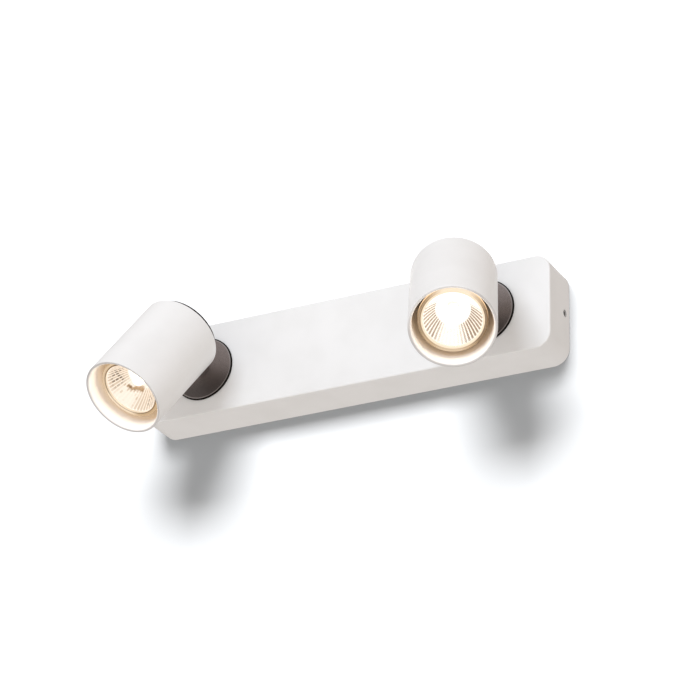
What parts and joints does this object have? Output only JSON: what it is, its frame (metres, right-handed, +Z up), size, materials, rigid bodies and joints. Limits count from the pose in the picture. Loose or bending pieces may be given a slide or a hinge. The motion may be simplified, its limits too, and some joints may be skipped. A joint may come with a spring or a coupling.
{
  "type": "twin spotlight",
  "caption": "Wall spotlight: a long shallow rounded base carries tubular lamp heads that turn on round dark discs and tilt on hollow knuckles.",
  "frame": {"origin": "centre of the base's back in the plane of the wall, midway between the two wall screw slots", "axes": "+X along the base to the right as seen from the room, +Y into the wall, +Z up"},
  "size_m": [0.345, 0.1493, 0.1126],
  "materials": {
    "white_coat": "satin white powder coat on sheet steel",
    "white_coat_tube": "satin white powder coat on aluminium tube",
    "dark_coat": "satin dark bronze grey coat",
    "zinc_steel": "zinc plated",
    "dark_steel": "blackened",
    "rubber": "matt",
    "terminal_plastic": "moulded",
    "brass": "plain",
    "lead_insulation": "smooth sleeving",
    "earth_insulation": "smooth sleeving",
    "nylon": "smooth",
    "ceramic": "fired ceramic",
    "reflector_glass": "pressed ribs, mirror coated",
    "capsule_glass": "clear quartz",
    "front_glass": "clear"
  },
  "bodies": {
    "base": {"base_cover": "white_coat", "wall_bracket": "zinc_steel", "side_screws": "dark_steel", "cable_grommet": "rubber", "terminal_block": "terminal_plastic", "terminal_sleeves": "brass", "terminal_screws": "zinc_steel", "block_screws": "zinc_steel", "earth_screw": "zinc_steel", "earth_lead": "earth_insulation", "left_leads": "lead_insulation", "right_leads": "lead_insulation"},
    "left_swivel": {"left_joint_disc": "dark_coat", "left_neck": "dark_coat", "left_slip_washer": "nylon", "left_stop_washer": "zinc_steel", "left_spring_washer": "zinc_steel", "left_neck_nut": "zinc_steel", "left_neck_leads": "lead_insulation"},
    "left_head": {"left_tube": "white_coat_tube", "left_rear_cap": "dark_coat", "left_tilt_bolt": "zinc_steel", "left_tilt_nut": "zinc_steel", "left_friction_washers": "nylon", "left_holder_bridge": "zinc_steel", "left_bridge_screws": "zinc_steel", "left_lamp_holder": "ceramic", "left_holder_screws": "zinc_steel", "left_holder_leads": "lead_insulation", "left_lamp_base": "ceramic", "left_lamp_pins": "zinc_steel", "left_reflector": "reflector_glass", "left_capsule": "capsule_glass", "left_lamp_glass": "front_glass"},
    "right_swivel": {"right_joint_disc": "dark_coat", "right_neck": "dark_coat", "right_slip_washer": "nylon", "right_stop_washer": "zinc_steel", "right_spring_washer": "zinc_steel", "right_neck_nut": "zinc_steel", "right_neck_leads": "lead_insulation"},
    "right_head": {"right_tube": "white_coat_tube", "right_rear_cap": "dark_coat", "right_tilt_bolt": "zinc_steel", "right_tilt_nut": "zinc_steel", "right_friction_washers": "nylon", "right_holder_bridge": "zinc_steel", "right_bridge_screws": "zinc_steel", "right_lamp_holder": "ceramic", "right_holder_screws": "zinc_steel", "right_holder_leads": "lead_insulation", "right_lamp_base": "ceramic", "right_lamp_pins": "zinc_steel", "right_reflector": "reflector_glass", "right_capsule": "capsule_glass", "right_lamp_glass": "front_glass"}
  },
  "joints": [
    {"name": "left_pan", "type": "hinge", "parent": "base", "child": "left_swivel", "pos_m": [-0.1185, -0.035, 0], "axis": [0, -1, 0], "range_deg": [-154.3, 185.7]},
    {"name": "left_tilt", "type": "hinge", "parent": "left_swivel", "child": "left_head", "pos_m": [-0.1185, -0.065, 0], "axis": [0.9627, 0, -0.2706], "range_deg": [-57, 33]},
    {"name": "right_pan", "type": "hinge", "parent": "base", "child": "right_swivel", "pos_m": [0.1185, -0.035, 0], "axis": [0, -1, 0], "range_deg": [-188.8, 151.2]},
    {"name": "right_tilt", "type": "hinge", "parent": "right_swivel", "child": "right_head", "pos_m": [0.1185, -0.065, 0], "axis": [0.9466, 0, 0.3223], "range_deg": [-55.6, 34.4]}
  ]
}
